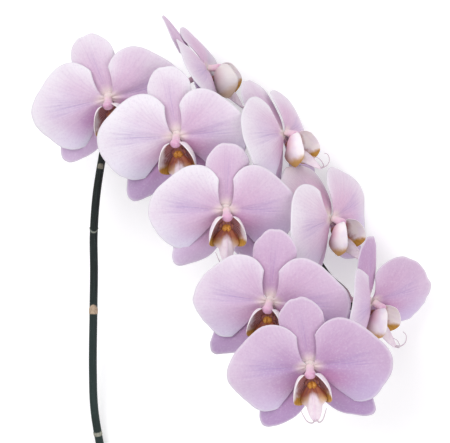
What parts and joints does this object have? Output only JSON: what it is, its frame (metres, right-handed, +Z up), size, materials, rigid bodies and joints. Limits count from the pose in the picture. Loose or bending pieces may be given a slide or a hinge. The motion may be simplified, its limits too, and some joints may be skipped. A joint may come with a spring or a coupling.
{
  "type": "moth orchid stem",
  "caption": "Cut moth orchid stem lying on a surface: a slim dark stem that arches over and carries open lilac blooms along its upper half.",
  "frame": {"origin": "middle of the bounding box at its base, on the surface that the stem lies on", "axes": "+Z up from the surface, +Y along the stem from its cut end towards the blooms, +X towards the arching tip"},
  "size_m": [0.2396, 0.325, 0.1117],
  "materials": {
    "stem": "dark green waxy stem, tan at its rings",
    "tepal": "pale lilac petal, satin, finely veined",
    "lip": "white lip with yellow rims and a maroon throat",
    "column": "pink waxy column"
  },
  "bodies": {
    "root": {"flower_stem": "stem", "bloom_1_tepals": "tepal", "bloom_1_lip": "lip", "bloom_1_column": "column", "bloom_2_tepals": "tepal", "bloom_2_lip": "lip", "bloom_2_column": "column", "bloom_3_tepals": "tepal", "bloom_3_lip": "lip", "bloom_3_column": "column", "bloom_4_tepals": "tepal", "bloom_4_lip": "lip", "bloom_4_column": "column", "bloom_5_tepals": "tepal", "bloom_5_lip": "lip", "bloom_5_column": "column", "bloom_6_tepals": "tepal", "bloom_6_lip": "lip", "bloom_6_column": "column", "bloom_7_tepals": "tepal", "bloom_7_lip": "lip", "bloom_7_column": "column", "bloom_8_tepals": "tepal", "bloom_8_lip": "lip", "bloom_8_column": "column", "bloom_9_tepals": "tepal", "bloom_9_lip": "lip", "bloom_9_column": "column"}
  },
  "joints": []
}
